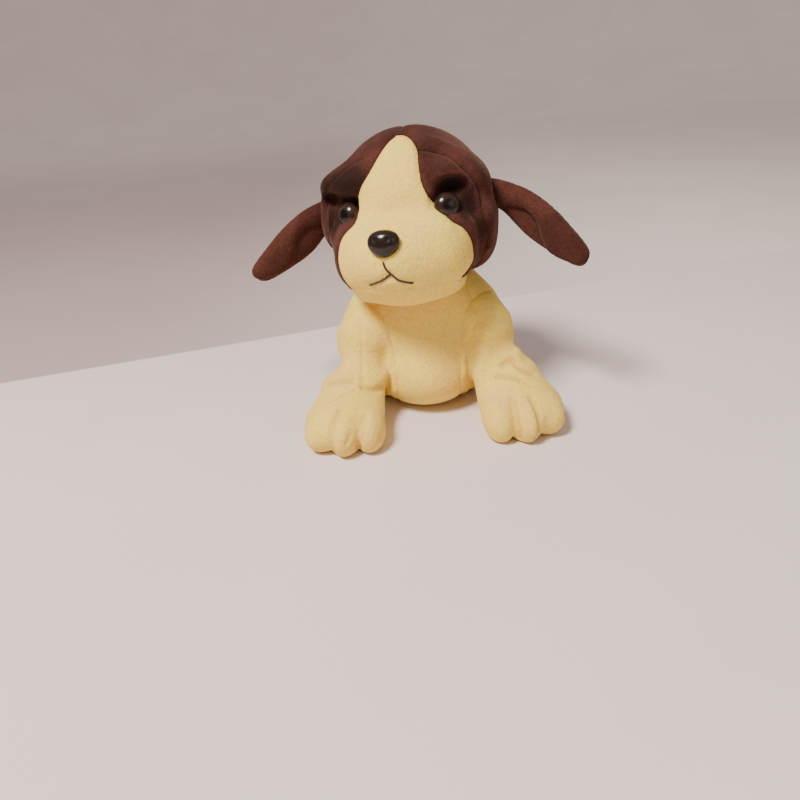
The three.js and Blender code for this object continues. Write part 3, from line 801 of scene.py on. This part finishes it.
HEAD_SEAMS = {
    ("eye_patch_right", "head_back_right"): 0.5,
    ("face_panel", "chin_panel"): 0.22,
    ("head_back_left", "head_back_right"): 0.6,
}
points, faces = skin(head_form, (-56, -70, -50), (56, 52, 50))
head_panels = Panels(points, faces, "head_back_right")
head_panels.seam(chin_field, "chin_panel", ["head_back_right"])
head_panels.seam(face_field, "face_panel", ["head_back_right"])
head_panels.seam(brow_field, "eye_patch_right", ["head_back_right"])
head_panels.seam(lambda p: -p[:, 0], "eye_patch_left", ["eye_patch_right"])
head_panels.seam(lambda p: -p[:, 0], "head_back_left", ["head_back_right"])
head_cloth = sewn(head_form, head_panels, {
    "face_panel": (CREAM, "cream_fleece"),
    "chin_panel": (CREAM, "cream_fleece"),
    "eye_patch_left": (BROWN, "brown_velour"),
    "eye_patch_right": (BROWN, "brown_velour"),
    "head_back_left": (BROWN, "brown_velour"),
    "head_back_right": (BROWN, "brown_velour"),
}, to_world, relief=head_relief, strength=HEAD_SEAMS, depth=1.0, width=1.4, nap=head_nap)
for name, obj in head_cloth.items():
    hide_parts(name)
    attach(obj, "head")
filled("head_filling", head_form, (-56, -70, -50), (56, 52, 50), "head", to_world)


def dome(name, at, look, outline, height, round_off, material, body, dents=(), skirt=1.4):
    """A moulded dome with a flat back: rings of an outline drawn in towards the middle."""
    look = np.array(look, float) / np.linalg.norm(look)
    right = np.cross([0.0, 0.0, 1.0], look)
    right /= np.linalg.norm(right)
    up = np.cross(look, right)
    rows, steps, ring = [], 26, 64
    angle = np.arange(ring) / ring * 2 * math.pi
    edge = outline(angle)
    for i in range(steps):
        t = i / steps * math.pi / 2
        out, lift = math.cos(t) ** round_off, math.sin(t)
        flat = edge * out
        tall = np.full(ring, height * lift)
        for cx, cz, size, depth in dents:
            tall -= depth * np.exp(-((flat[:, 0] - cx) ** 2 + (flat[:, 1] - cz) ** 2) / size**2)
        rows.append(at + flat[:, :1] * right + flat[:, 1:] * up + tall[:, None] * look)
    back = at + edge[:, :1] * 0.8 * right + edge[:, 1:] * 0.8 * up - skirt * look
    points = np.concatenate([back, *rows, [at + height * look], [at - skirt * look]])
    faces = strips(steps, ring)
    top, bottom, end = len(points) - 2, len(points) - 1, steps * ring
    for k in range(ring):
        faces += [(top, end + k, end + (k + 1) % ring), (bottom, (k + 1) % ring, k)]
    obj = piece(name + "_moulding", to_world(points), np.array(faces), material)
    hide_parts(name)
    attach(obj, body)
    return obj


def eye_outline(angle):
    return np.stack([-EYE_RADIUS * np.cos(angle), EYE_RADIUS * np.sin(angle)], 1)


def nose_outline(angle):
    """An oval, wider above its middle and drawn in below."""
    x, z = np.cos(angle), np.sin(angle)
    wide = 8.2 * np.sign(x) * np.abs(x) ** 0.94 * (1 + 0.12 * z - 0.08 * np.maximum(-z, 0) ** 2)
    return np.stack([-wide, 6.8 * np.sign(z) * np.abs(z) ** 0.95], 1)


for side, k in SIDES:
    centre = np.array([k * 25.5 + (0.9 if k > 0 else -0.9), -30.4, 7.2])
    look = np.array([k * 0.42, -0.88, 0.22])
    front = to_world((centre + look / np.linalg.norm(look) * 4.6)[None])[0] * MM
    EYE = plastic(f"brown_plastic_{side}", linear(46, 30, 22), linear(9, 6, 5), 0.16, tuple(front))
    dome(f"eye_{side}", centre, look, eye_outline, 4.8, 1.0, EYE, "head", skirt=3.6)
dome("nose", np.array([-1.1, -58.2, -3.0]), (0, -0.97, 0.24), nose_outline, 5.5, 0.8, NOSE,
     "head", [(-3.4, 2.0, 1.4, 0.5), (3.4, 1.8, 1.4, 0.5)])
for name in ("eye_left_washer", "eye_right_washer", "nose_washer"):
    node_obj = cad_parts[name]
    node_obj.data.materials.clear()
    node_obj.data.materials.append(WASHER)


def laid(shape, path, lift=0.0):
    """The path as a smooth curve on the surface of the shape, moved up by the lift."""
    p, away = settle(shape, eased(path, 4), 4)
    return p + away * lift


strokes = [tube(f"mouth_stroke_{i}", laid(head_form, path, 0.05), 0.62, MOUTH, to_world)
           for i, path in enumerate((MOUTH_TOP, MOUTH_LEFT, MOUTH_RIGHT))]
for obj in strokes:
    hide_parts("mouth_thread")
    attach(obj, "head")

# ---------- torso ----------
torso_round = blend([
    egg((0, 2, 34), (40, 46, 36)),
    egg((0, -16, 22), (34, 37, 24)),
    egg((0, -8, 56), (40, 32, 36)),
    egg((32, -20, 46), (17, 20, 26)),
    egg((-32, -20, 46), (17, 20, 26)),
], 10)


def hind_round(k):
    return blend([
        egg((k * 27, -5, 9), (11.5, 22, 10)),
        egg((k * 33, 18, 15), (16, 20, 17)),
    ], 8)


# the chest leaves room for part of the head's nod and turn; further on the chin presses into it
head_world = placed(head_round)
nod_axis = tuple(spin("Z", HEAD_FACING) @ np.array([1.0, 0, 0]))
head_nods = swept(head_world, NECK_PIVOT, nod_axis, (-3, 0, 3))
head_sweep = swept(head_nods, NECK_PIVOT, (0, 0, 1), (-8, 0, 8))
hind_sweeps = [
    swept(hind_round(k), np.array([k * 32.0, 18, 14]), (0, 0, 1), [k * d for d in (-3, 3, 9, 15, 21, 26)])
    for _, k in SIDES
]
torso_whole = on_floor(torso_round)


def only_where(mover, region):
    """The mover, worked out only for points in a region."""

    def distance(p):
        d = np.full(len(p), FAR_OFF)
        near = region(p)
        if near.any():
            d[near] = mover(p[near])
        return d

    return distance


torso_form = cleared(torso_whole, [
    only_where(head_sweep, lambda p: p[:, 2] > 62),
    *(only_where(sweep, lambda p, k=k: (p[:, 2] < 36) & (p[:, 0] * k > 8))
      for sweep, (_, k) in zip(hind_sweeps, SIDES)),
], 0.4)

BELLY_HALF = [[0, -4], [18, -4], [19, 22], [23.5, 42], [26.6, 51], [29.5, 60], [26, 72], [22, 92], [0, 104]]
belly_field = outline_field(both_halves(BELLY_HALF), -6)
points, faces = skin(torso_form, (-54, -58, -2), (54, 54, 96))
torso_panels = Panels(points, faces, "side_panel_right")
torso_panels.seam(lambda p: p[:, 2] - 3, "seat_panel", ["side_panel_right"])
torso_panels.seam(belly_field, "belly_panel", ["side_panel_right"])
torso_panels.seam(lambda p: -p[:, 0], "side_panel_left", ["side_panel_right"])
torso_seams = torso_panels.edges({})[0]
torso_blown = blown(torso_whole, (-54, -58, -2), (54, 54, 96), torso_seams[torso_seams[:, 2] < 80])


def torso_relief(p):
    return torso_blown(p) * np.clip((78 - p[:, 2]) / 10, 0, 1) * np.clip((p[:, 2] - 3) / 6, 0, 1)


torso_cloth = sewn(torso_form, torso_panels, {
    name: (CREAM, "cream_fleece")
    for name in ("seat_panel", "belly_panel", "side_panel_left", "side_panel_right")
}, depth=0.7, width=1.3, plump=0.3, relief=torso_relief, strength={
    ("belly_panel", "side_panel_left"): 0.55,
    ("belly_panel", "side_panel_right"): 0.5,
    ("side_panel_left", "side_panel_right"): 0.8,
})
for name, obj in torso_cloth.items():
    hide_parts(name)
    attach(obj, "torso")
filled("torso_filling", torso_form, (-54, -58, -2), (54, 54, 96), "torso")

# neck pad, a thin bowl of stuffing between the head and the body
def neck_bowl(p):
    reach = np.linalg.norm(p - NECK_PIVOT, axis=1)
    tilt = np.arccos(np.clip((NECK_PIVOT[2] - p[:, 2]) / np.maximum(reach, 1e-6), -1, 1))
    rim = (tilt - math.radians(30)) * reach
    return soft_max(np.maximum(reach - 41.6, 34.6 - reach), rim, 3)


points, faces = skin(neck_bowl, (-32, -36, 62), (28, 20, 90), 1.5)
neck = piece("neck_filling_wad", points, faces, FIBRE)
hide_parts("neck_filling")
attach(neck, "neck")


# ---------- front legs ----------
def arm_round(k):
    paw = blend([
        rod((k * 36, -26, 50), (k * 39, -44, 22), 13, 13),
        egg((k * 50, -62, 12), (22, 26, 14), (0, 0, k * 22)),
        egg((k * 50, -46, 18), (14, 16, 16)),
    ], 9)
    toes = blend([
        egg((k * 36, -76, 9.5), (8.6, 13.6, 11.5), (0, 0, k * 6)),
        egg((k * 49, -78.5, 10), (8.4, 13.6, 12), (0, 0, k * 16)),
        egg((k * 61.5, -73, 9.5), (9.5, 13, 10.5), (0, 0, k * 30)),
    ], 1.2)
    return blend([paw, toes], 3.5)


TOE_DEPTH = 3.0
TOE_LINES = {
    1: ([(42.7, -76, 24), (43.2, -84, 18), (43.8, -89, 10), (43.8, -89, 3)],
        [(53.2, -77, 24), (54.5, -84, 19), (55.8, -89, 12.8), (56, -90, 3)]),
    -1: ([(-38.2, -79, 22), (-40.5, -86, 16), (-42.4, -90.1, 9.9), (-42.5, -90, 2)],
         [(-51.5, -76, 24), (-54.5, -83, 19), (-57.2, -88.6, 12.8), (-57.5, -89, 3)]),
}
ARM_SEAMS = {
    1: [(23.7, -30.7, 71.8), (29.9, -38.4, 59.5), (26.6, -40.7, 50.8), (23.5, -41.4, 42)],
    -1: [(-35.5, -34, 66), (-37, -42, 54), (-37.5, -50, 42), (-38, -56, 30)],
}
WRIST_FOLDS = {
    1: ([(57, -56, 25), (52, -56, 31.7), (47.5, -52, 34.5), (42, -54, 33)],
        [(50, -63, 27.5), (44, -61, 29.5), (38, -59, 29)]),
    -1: ([(-24, -51, 24), (-30, -58, 26.5), (-38, -58, 28)],
         [(-55, -52, 26), (-50, -54, 29), (-45, -55, 30)]),
}


def arm_form(k):
    shape = base = arm_round(k)
    for path in TOE_LINES[k]:
        shape = creased(shape, laid(base, path), TOE_DEPTH, 1.5)
    for path, depth in zip(WRIST_FOLDS[k], (2.2, 1.1)):
        shape = creased(shape, laid(base, path), depth, 1.7)
    if k < 0:
        shape = creased(shape, laid(base, [(-45.6, -89.2, 15.3), (-48.7, -90.4, 11.3)]), 1.0, 1.2)
        shape = swelling(shape, (-24, -46, 29.5), (6.5, 7, 4.4), 3.0)
        shape = swelling(shape, (-50, -48, 32), (8, 8, 4), 1.2)
    else:
        for at, size, height in (((52, -45, 39), (8, 9, 4.6), 2.8), ((45, -62, 26), (12, 8, 5), 0.9),
                                 ((27, -48, 27), (6, 7, 4.5), 1.0)):
            shape = swelling(shape, at, size, height)
    return on_floor(shape, 3)


def arm_shade(k):
    """Painted shade down in the toe creases and wrist folds."""
    lines = [path_distance(laid(arm_round(k), path)) for path in (*TOE_LINES[k], *WRIST_FOLDS[k])]
    return lambda p: 0.95 * np.exp(-((np.min([line(p) for line in lines], axis=0) / 2.4) ** 2))


def leg_panels(cover, shape, split, low, high):
    """The part of the skin shared with the body that covers a leg, in two panels."""
    points, faces = skin(cover, low, high)
    leg = Panels(points, faces, "rest")
    leg.seam(lambda p: shape(p) - PATCH_REACH, "outer", ["rest"])
    leg.seam(split, "inner", ["outer"])
    keep = leg.label != 0
    leg.faces, leg.label = leg.faces[keep], leg.label[keep]
    return leg


def leg_relief(shape, swell):
    """The cloth run's swelling; the rim of the patch sinks under the body's cover."""

    def relief(p):
        rim = np.clip((shape(p) - (PATCH_REACH - PATCH_RIM)) / PATCH_RIM, 0, 1)
        return swell(p) * (1 - rim) * np.clip((p[:, 2] - 2) / 5, 0, 1) - RIM_SINK * rim**2

    return relief


def leg_cover(cloth, leg):
    """Names each cloth after the leg, hides the panel it stands for and bakes its place; it is attached to no
    body. The filling only rides on the leg, so at the far end of the motion it comes through the cover in a
    small patch."""
    for name, obj in cloth.items():
        obj.name = f"{leg}_{name}_cloth"
        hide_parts(f"{leg}_{name}_panel")
        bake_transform(obj)


def leg_skin(cover, panels, strength, **look):
    return sewn(cover, panels, {name: (CREAM, "cream_fleece") for name in ("outer", "inner")}, plump=0,
                lift=0.12, strength={("outer", "inner"): strength, ("outer", "rest"): 0.0}, **look)


for side, k in SIDES:
    arm = arm_form(k)

    def joined(p, arm=arm, k=k):
        """The leg and the body as one skin: a soft shoulder outside, a tight crease by the belly."""
        inner = 1 / (1 + np.exp((p[:, 0] * k - 33) / 2.5))
        low = 1 / (1 + np.exp((p[:, 2] - 50) / 5))
        soft = 11 - 8.5 * inner * low
        return soft_min(arm(p), torso_whole(p), soft)

    low = (min(k * 14, k * 80), -96, -2)
    high = (max(k * 14, k * 80), 6, 84)
    joined = creased(joined, laid(joined, ARM_SEAMS[k]), 0.7, 1.3)
    # the seam between the two panels runs down the belly side and round the back
    split = np.array([math.cos(math.radians(k * 62)), math.sin(math.radians(k * 62)), 0])
    leg = leg_panels(joined, arm, lambda p, k=k, split=split: ((p - (k * 27, -52, 0)) @ split) * k, low, high)
    lines = np.concatenate([laid(arm_round(k), path) for path in (*TOE_LINES[k], *WRIST_FOLDS[k])])
    swell = blown(joined, low, high, lines)
    cloth = leg_skin(joined, leg, 0.3, depth=0.3, width=1.0, relief=leg_relief(arm, swell), nap=arm_shade(k))
    leg_cover(cloth, f"front_leg_{side}")
    filled(f"front_leg_{side}_filling", arm, low, high, f"front_leg_{side}")
    for word, path in zip(("inner", "outer"), TOE_LINES[k]):
        line, away = settle(arm_round(k), eased(path[:-1], 4), 4)
        line = line - away * (TOE_DEPTH - 0.1)
        obj = tube(f"front_leg_{side}_{word}_toe_stitch", line, 0.4, STITCH)
        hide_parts(f"front_leg_{side}_{word}_toe_thread")
        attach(obj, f"front_leg_{side}")

# ---------- hind legs, tail ----------
for side, k in SIDES:
    form = on_floor(hind_round(k), 3)

    def haunch(p, form=form):
        """The leg and the body as one skin: soft over the hip, a tight crease under the belly."""
        front = 1 / (1 + np.exp((p[:, 1] - 2) / 4))
        under = 1 / (1 + np.exp((p[:, 2] - 14) / 3))
        return soft_min(form(p), torso_whole(p), 8 - 6.5 * np.maximum(front, under))

    low = (min(k * 6, k * 64), -40, -2)
    high = (max(k * 6, k * 64), 54, 48)
    leg = leg_panels(haunch, form, lambda p, k=k: (
        p[:, 0] * k - 29 - (p[:, 1] + 5) * 0.16 + 3 * np.maximum(p[:, 2] - 14, 0)), low, high)
    swell = blown(haunch, low, high, laid(form, [(k * 29, -26, 8), (k * 29, 0, 16), (k * 33, 20, 30)]))
    cloth = leg_skin(haunch, leg, 0.6, depth=0.5, width=1.2, relief=leg_relief(form, swell))
    leg_cover(cloth, f"hind_leg_{side}")
    filled(f"hind_leg_{side}_filling", form, low, high, f"hind_leg_{side}")

tail_form = rod((0, 43, 17), (0, 64, 25), 8, 5.5)
points, faces = skin(tail_form, (-12, 30, 4), (12, 74, 36))
tail = Panels(points, faces, "right")
tail.seam(lambda p: -p[:, 0], "left", ["right"])
for name, obj in sewn(tail_form, tail, {n: (CREAM, "cream_fleece") for n in ("left", "right")}).items():
    obj.name = f"tail_{name}_cloth"
    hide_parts(f"tail_{name}_panel")
    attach(obj, "tail")
filled("tail_filling", tail_form, (-12, 30, 4), (12, 74, 36), "tail")


# ---------- ears ----------
EAR_ROOT = np.array([47.0, 4.0, 5.0])
EAR_TURN = spin("Z", -23.5) @ spin("Y", 33.5)
EAR_BACK = [[-9, 2], [-6, 6], [0, 8.2], [8, 10.2], [16, 11.4], [26, 11.6], [36, 10.8], [46, 9.2],
            [55, 7.6], [61, 5.6], [63.2, 1.8], [62.4, -3.0], [58, -6.2], [50, -8.2], [42, -9.6],
            [33, -10.6], [25, -10.4], [17, -8.6], [9, -6.6], [0, -6.4], [-7, -4]]
EAR_FRONT = [[-9, 2], [-6, 6], [0, 8.4], [8, 10.6], [16, 12], [26, 12.2], [36, 11.4], [46, 9.8],
             [55, 8.2], [61, 6.4], [63.4, 3.2], [62, -1.4], [57, -4.6], [48, -7.8], [41, -8],
             [35, -3.8], [29, 1.6], [20, 3.2], [12, 0.4], [5, -3.6], [-6, -5]]


def leaf(k, outline, depth, thickness, offset):
    """A padded flap: rounded at its rim, gently arched, hanging from the root."""
    field = outline_field([[u, w] for u, w in outline], 1e6)

    def distance(p):
        q = ((p * np.array([k, 1, 1])) - EAR_ROOT) @ EAR_TURN
        if k < 0:
            # its right ear lies a little shorter and higher
            q = q @ spin("Y", -3.6) / 0.98
        arch = 0.006 * (q[:, 0] - 20) ** 2 * 0.35 - 0.018 * (q[:, 2] - 2) ** 2
        off = q[:, 1] - offset + arch
        inside = field(np.stack([q[:, 0], np.full(len(q), -1e6), q[:, 2]], 1))
        rim = np.maximum(inside + depth, 0)
        return (np.sqrt(rim**2 + (off * depth / thickness) ** 2) - depth) * 0.7

    return distance


for side, k in SIDES:
    flaps = {
        "outer": leaf(k, EAR_FRONT, 6.0, 2.7, -1.4),
        "inner": leaf(k, EAR_BACK, 6.0, 2.3, 1.4),
    }
    for name, shape in flaps.items():
        low = (min(k * 36, k * 108), -32, -44)
        high = (max(k * 36, k * 108), 18, 26)
        points, faces = skin(shape, low, high)
        sheet = Panels(points, faces, name)
        obj = sewn(shape, sheet, {name: (BROWN, "brown_velour")}, to_world)[name]
        obj.name = f"ear_{side}_{name}_cloth"
        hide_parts(f"ear_{side}_{name}")
        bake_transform(obj)

# ---------- stage, light, camera ----------
def stage_cloth():
    """A pale floor that curves up far away; beyond a slanting line it takes the tint of the far cloth. Both
    carry painted light: darker on the left, lighter on the right, and the far cloth paler further off.
    """
    material, tree, surface = shade("stage_cloth", linear(229, 215, 214), 0.85)
    place = tree.nodes.new("ShaderNodeTexCoord").outputs["Object"]
    across = node(tree, "ShaderNodeSeparateXYZ")
    tree.links.new(place, across.inputs[0])
    slant = node(tree, "ShaderNodeVectorMath")
    slant.operation = "DOT_PRODUCT"
    slant.inputs[1].default_value = (-0.26, 1, 0)
    tree.links.new(place, slant.inputs[0])
    soft = noise(tree, place, 5.0, 2, 0.5, 0.6)
    # painted light: the near floor is a little darker on the left and lighter on the right
    near = mixed(tree, ranged(tree, across.outputs["X"], -0.25, 0.3),
                 linear(229, 215, 214), linear(236, 225, 224))
    # the far cloth: its own greyer tint, with painted light: darker on the left, lighter on the right, paler
    # further off
    far = mixed(tree, ranged(tree, across.outputs["X"], -0.3, 0.4),
                linear(180, 162, 160), linear(242, 233, 229))
    far = mixed(tree, ranged(tree, slant.outputs["Value"], 0.5, 2.6, 0, 0.9), far, linear(254, 244, 239))
    base = mixed(tree, ranged(tree, slant.outputs["Value"], 0.134, 0.137), near, far)
    base = mixed(tree, ranged(tree, soft, 0.35, 0.7, 0, 0.05), base, linear(120, 108, 108))
    tree.links.new(base, surface.inputs["Base Color"])
    surface.inputs["Specular IOR Level"].default_value = 0.2
    fold = node(tree, "ShaderNodeBump", Strength=0.15, Distance=0.02)
    tree.links.new(soft, fold.inputs["Height"])
    tree.links.new(fold.outputs["Normal"], surface.inputs["Normal"])
    turns, flat, curve, top = 96, 2.2, 1.5, 2.0
    profile = [(flat * i / 4, 0.0) for i in range(1, 5)]
    profile += [(flat + curve * math.sin(a), curve * (1 - math.cos(a)))
                for a in np.linspace(0, math.pi / 2, 16)[1:]]
    profile += [(3.7, top)]
    points = [(0.0, 0.0, 0.0)]
    for reach, height in profile:
        points += [(reach * math.cos(t), reach * math.sin(t), height)
                   for t in np.arange(turns) / turns * 2 * math.pi]
    faces = [(0, 1 + k, 1 + (k + 1) % turns) for k in range(turns)]
    for i in range(len(profile) - 1):
        for k in range(turns):
            a, b = 1 + i * turns + k, 1 + i * turns + (k + 1) % turns
            faces.append((a, a + turns, b + turns, b))
    mesh = bpy.data.meshes.new("stage_cloth")
    mesh.from_pydata(points, [], faces)
    mesh.polygons.foreach_set("use_smooth", [True] * len(mesh.polygons))
    mesh.materials.append(material)
    obj = bpy.data.objects.new("stage_cloth", mesh)
    bpy.context.scene.collection.objects.link(obj)


stage_cloth()

world = bpy.data.worlds.new("room")
world.use_nodes = True
world.node_tree.nodes["Background"].inputs["Color"].default_value = (*linear(224, 212, 206), 1)
world.node_tree.nodes["Background"].inputs["Strength"].default_value = 0.6
bpy.context.scene.world = world


def lamp(name, at, aim, size, watts, colour):
    data = bpy.data.lights.new(name, "AREA")
    data.shape, data.size, data.energy, data.color = "DISK", size, watts, colour
    obj = bpy.data.objects.new(name, data)
    obj.location = at
    obj.rotation_euler = (Vector(aim) - Vector(at)).to_track_quat("-Z", "Y").to_euler()
    bpy.context.scene.collection.objects.link(obj)


lamp("key", (-0.5, -0.5, 1.05), (0, -0.02, 0.07), 0.34, 24, (1.0, 0.93, 0.84))
lamp("fill", (0.8, -0.9, 0.6), (0, 0, 0.07), 0.8, 1.4, (1.0, 0.96, 0.93))

camera_data = bpy.data.cameras.new("camera")
camera_data.lens = 27
camera_data.sensor_width = 36
camera = bpy.data.objects.new("camera", camera_data)
bpy.context.scene.collection.objects.link(camera)
down = math.radians(28)
back = Vector((0, -math.cos(down), math.sin(down)))
right = Vector((1, 0, 0))
up = back.cross(right)
roll = math.radians(-4.5)
right_rolled = right * math.cos(roll) + up * math.sin(roll)
up_rolled = up * math.cos(roll) - right * math.sin(roll)
turn = Matrix((right_rolled, up_rolled, back)).transposed().to_4x4()
camera.matrix_world = Matrix.Translation((-0.018, -0.3639, 0.1808)) @ turn
bpy.context.scene.camera = camera
